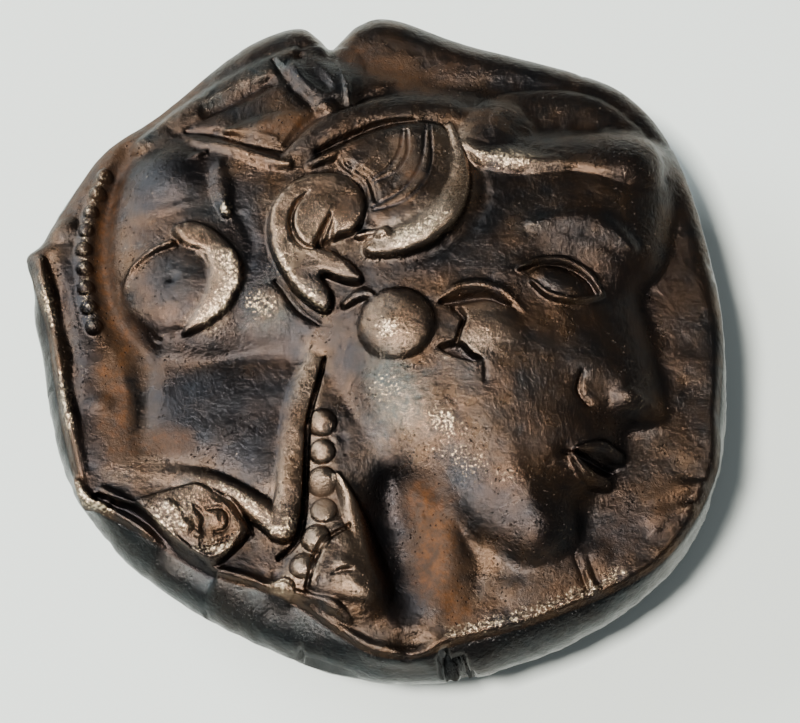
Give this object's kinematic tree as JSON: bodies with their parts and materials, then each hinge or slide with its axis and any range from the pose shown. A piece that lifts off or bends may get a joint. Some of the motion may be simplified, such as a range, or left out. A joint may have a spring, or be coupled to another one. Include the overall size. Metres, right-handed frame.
{
  "type": "ancient silver tetradrachm coin",
  "caption": "Thick hand-struck silver coin with an uneven rim, a helmeted head in high relief, and an owl in a sunk square beneath.",
  "frame": {"origin": "middle of the coin's outline, on the plane that it rests on", "axes": "+Z through the coin's thickness, up from the reverse to the obverse; +X the way the head faces; +Y towards the top of the head"},
  "size_m": [0.0228, 0.0232, 0.0058],
  "materials": {
    "toned_silver": "worn, darkly toned silver with brown deposits in the hollows"
  },
  "bodies": {
    "root": {"coin": "toned_silver"}
  },
  "joints": []
}
